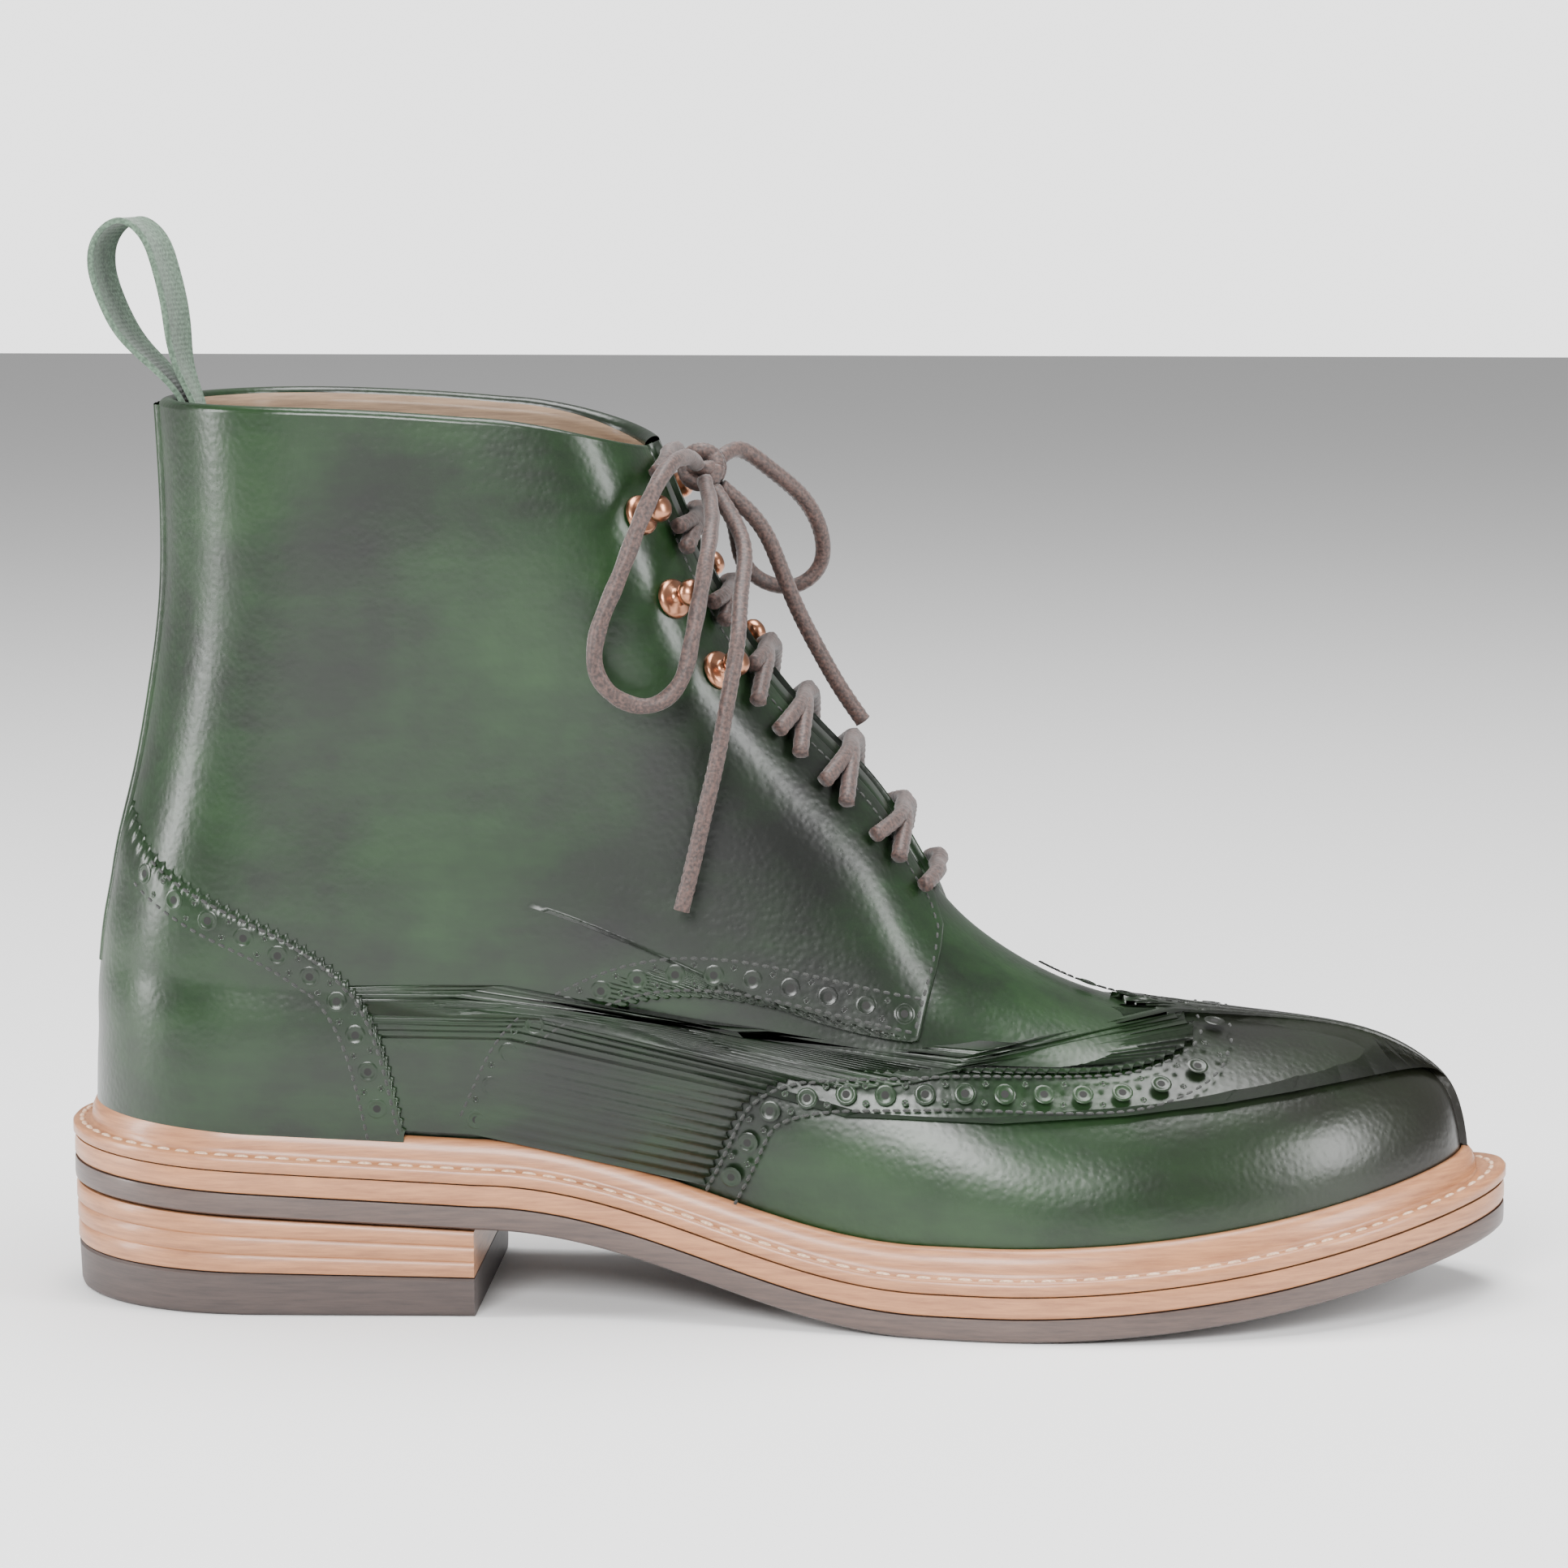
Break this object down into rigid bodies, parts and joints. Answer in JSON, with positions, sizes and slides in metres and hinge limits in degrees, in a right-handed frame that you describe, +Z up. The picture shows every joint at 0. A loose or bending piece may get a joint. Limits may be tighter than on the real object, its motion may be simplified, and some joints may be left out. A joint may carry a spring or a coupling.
{
  "type": "lace-up ankle boot",
  "caption": "Right-foot leather lace-up ankle boot with a winged toe cap, punched edges, a stitched welt, speed hooks and a webbing pull loop at the back.",
  "frame": {"origin": "centre of the bounding box in plan, on the floor under the heel and the flat part of the forefoot", "axes": "+X toward the toe along the sole, +Y toward the wearer's left, the inner side of the foot, +Z up from the floor"},
  "size_m": [0.315, 0.1094, 0.2337],
  "materials": {
    "green_leather": "polished",
    "lining_leather": "matte",
    "tan_edge": "satin",
    "dark_edge": "satin",
    "heel_rubber": "matte",
    "lace_cord": "satin",
    "hook_metal": "satin",
    "loop_tape": "matte"
  },
  "bodies": {
    "root": {"outsole": "dark_edge", "midsole": "tan_edge", "heel_stack": "tan_edge", "heel_top_lift": "heel_rubber", "welt": "tan_edge", "upper": "green_leather", "insole": "lining_leather", "tongue": "green_leather", "wing_cap": "green_leather", "heel_counter": "green_leather", "back_strip": "green_leather", "quarter_lateral": "green_leather", "quarter_medial": "green_leather", "hook_lateral_1": "hook_metal", "hook_lateral_2": "hook_metal", "hook_lateral_3": "hook_metal", "hook_medial_1": "hook_metal", "hook_medial_2": "hook_metal", "hook_medial_3": "hook_metal", "lace_bar": "lace_cord", "lace_cross_1": "lace_cord", "lace_cross_2": "lace_cord", "lace_cross_3": "lace_cord", "lace_cross_4": "lace_cord", "lace_cross_5": "lace_cord", "lace_cross_6": "lace_cord", "lace_tie": "lace_cord", "lace_knot": "lace_cord", "lace_loop_lateral": "lace_cord", "lace_loop_medial": "lace_cord", "lace_end_lateral": "lace_cord", "lace_end_medial": "lace_cord", "pull_loop": "loop_tape"}
  },
  "joints": []
}
